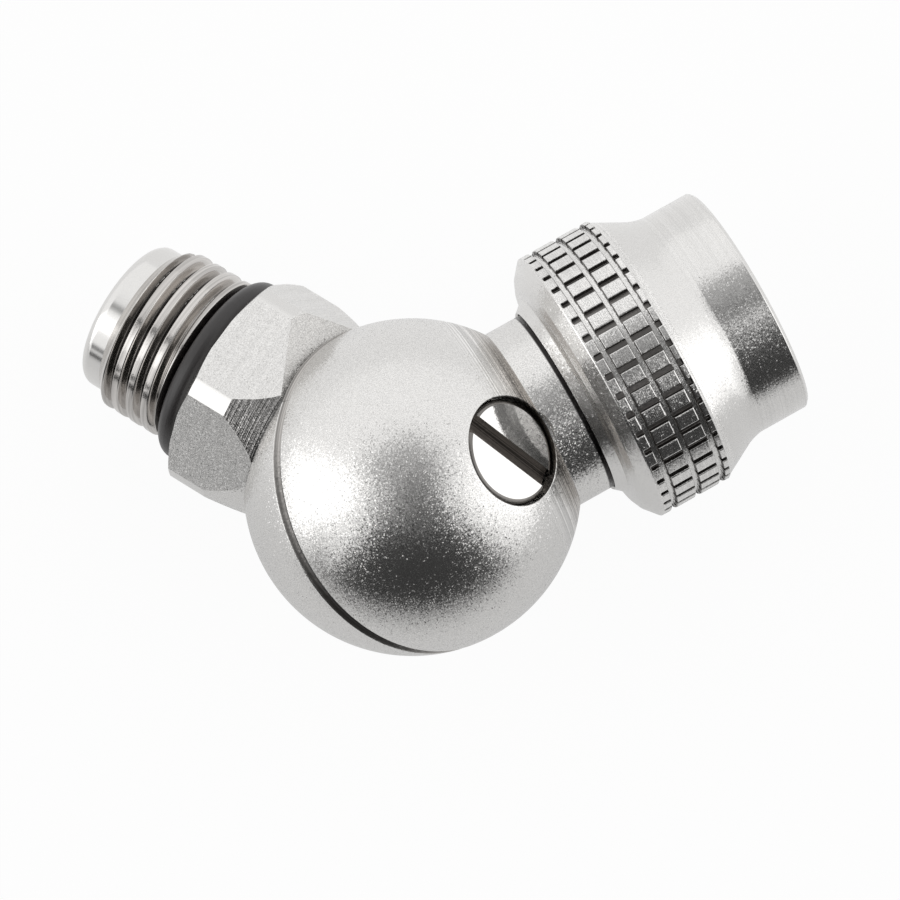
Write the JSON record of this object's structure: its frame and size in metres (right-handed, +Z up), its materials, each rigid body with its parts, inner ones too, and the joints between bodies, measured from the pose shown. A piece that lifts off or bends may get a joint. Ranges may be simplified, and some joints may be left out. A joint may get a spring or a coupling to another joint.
{
  "type": "hose swivel",
  "caption": "Ball-shaped hose swivel in two halves on a slotted hollow pivot bolt, with a threaded hexagon arm and a knurled coupling nut that turns on the other neck.",
  "frame": {"origin": "middle of the underside of the bounding box, on the table the swivel lies on, in the pose of the picture", "axes": "+X to the right of the picture, from the threaded arm to the nut; +Y to the top of the picture; +Z up from the table to the camera"},
  "size_m": [0.0576, 0.0364, 0.0267],
  "materials": {
    "steel_satin": "bead-blasted satin stainless steel, with turned and milled faces left bright",
    "steel_polished": "polished stainless steel",
    "rubber_black": "smooth black nitrile",
    "plastic_white": "smooth white bearing plastic",
    "plastic_black": "smooth black bearing plastic"
  },
  "bodies": {
    "male_side": {"male_body": "steel_satin", "thread_o_ring": "rubber_black", "pivot_bolt": "steel_polished", "head_seal_ring": "rubber_black", "face_seal_ring": "rubber_black", "base_seal_ring": "rubber_black", "head_washer": "plastic_white", "split_washer": "plastic_black"},
    "neck_side": {"swivel_body": "steel_satin", "nozzle": "steel_polished", "nozzle_seal_ring": "rubber_black", "nozzle_base_ring": "rubber_black", "nut_washer": "plastic_white"},
    "nut": {"coupling_nut": "steel_satin"}
  },
  "joints": [
    {"name": "swivel", "type": "hinge", "parent": "male_side", "child": "neck_side", "pos_m": [-0.00243, -0.00494, 0.01343], "axis": [0.6224, 0.2289, 0.7485], "continuous": true},
    {"name": "nut_spin", "type": "hinge", "parent": "neck_side", "child": "nut", "pos_m": [0.01497, 0.00481, 0.01188], "axis": [0.8698, 0.4872, -0.0776], "continuous": true}
  ]
}
